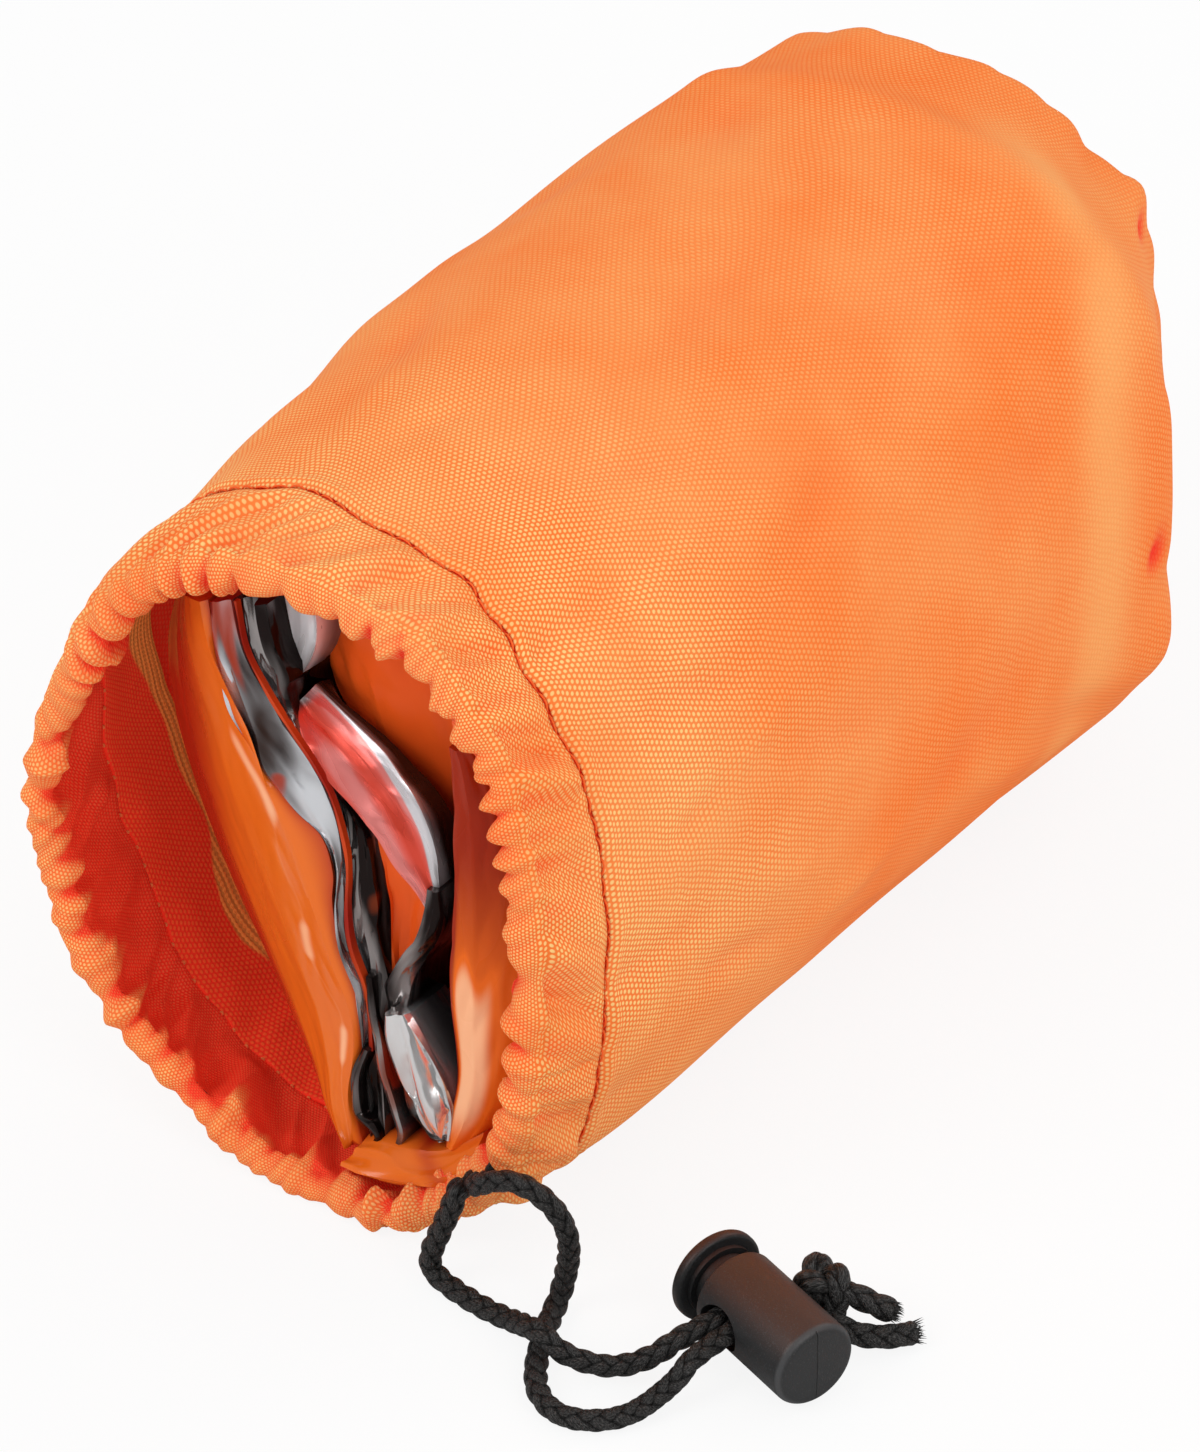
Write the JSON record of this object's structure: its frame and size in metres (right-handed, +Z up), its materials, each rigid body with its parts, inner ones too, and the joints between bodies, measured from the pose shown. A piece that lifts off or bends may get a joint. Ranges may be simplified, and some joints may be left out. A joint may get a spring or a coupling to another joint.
{
  "type": "bivvy bag",
  "caption": "Emergency bivvy bag of aluminised film, folded into a drawstring stuff sack that lies on its side, with cord lock and knotted drawcord.",
  "frame": {"origin": "on the table, under the middle of the sack's bounding box without the free cord and its lock", "axes": "+X to the right of the mouth as one looks into it, +Y from the mouth to the base, +Z up"},
  "size_m": [0.1411, 0.192, 0.1053],
  "materials": {
    "side_panel": "woven, matt outside, coated inside",
    "base_panel": "woven, matt outside, coated inside",
    "base_seam": "woven, raw edges",
    "side_seam": "woven, raw edges",
    "drawcord_hem": "woven, gathered",
    "hem_stitching": "sewing thread",
    "hem_selvedge": "woven edge, uncoated",
    "drawcord": "braided, slightly glossy",
    "lock_barrel": "moulded, satin",
    "lock_plunger": "moulded, satin",
    "lock_spring": "drawn wire",
    "orange_film": "smooth, glossy film",
    "silver_film": "aluminised film, mirror-like",
    "folded_film": "layers of folded film"
  },
  "bodies": {
    "sack": {"side_panel": "side_panel", "base_panel": "base_panel", "base_seam": "base_seam", "side_seam": "side_seam", "drawcord_hem": "drawcord_hem", "hem_stitching": "hem_stitching", "hem_selvedge": "hem_selvedge", "drawcord_in_hem": "drawcord", "drawcord_leg_left": "drawcord", "drawcord_leg_right": "drawcord", "drawcord_knot": "drawcord", "drawcord_tail_left": "drawcord", "drawcord_tail_right": "drawcord"},
    "cord_lock": {"lock_barrel": "lock_barrel", "lock_spring": "lock_spring"},
    "plunger": {"lock_plunger": "lock_plunger"},
    "bivvy": {"bivvy_fold_left": "orange_film", "bivvy_fold_right": "orange_film", "bivvy_fold_bottom": "orange_film", "bivvy_foil_left": "silver_film", "bivvy_foil_middle": "silver_film", "bivvy_foil_right": "silver_film", "bivvy_core": "folded_film"}
  },
  "joints": [
    {"name": "lock_slide", "type": "slide", "parent": "sack", "child": "cord_lock", "axis": [-0.3502, -0.9367, 0], "range_m": [0, 0.003]},
    {"name": "plunger_press", "type": "slide", "parent": "cord_lock", "child": "plunger", "axis": [0.9367, -0.3502, 0], "range_m": [0, 0.0022], "stiffness_N_per_m": 800, "springref_m": -0.002, "deforming": ["lock_spring"]},
    {"name": "bivvy_pull_out", "type": "slide", "parent": "sack", "child": "bivvy", "axis": [0, -1, 0], "range_m": [0, 0.165]}
  ]
}
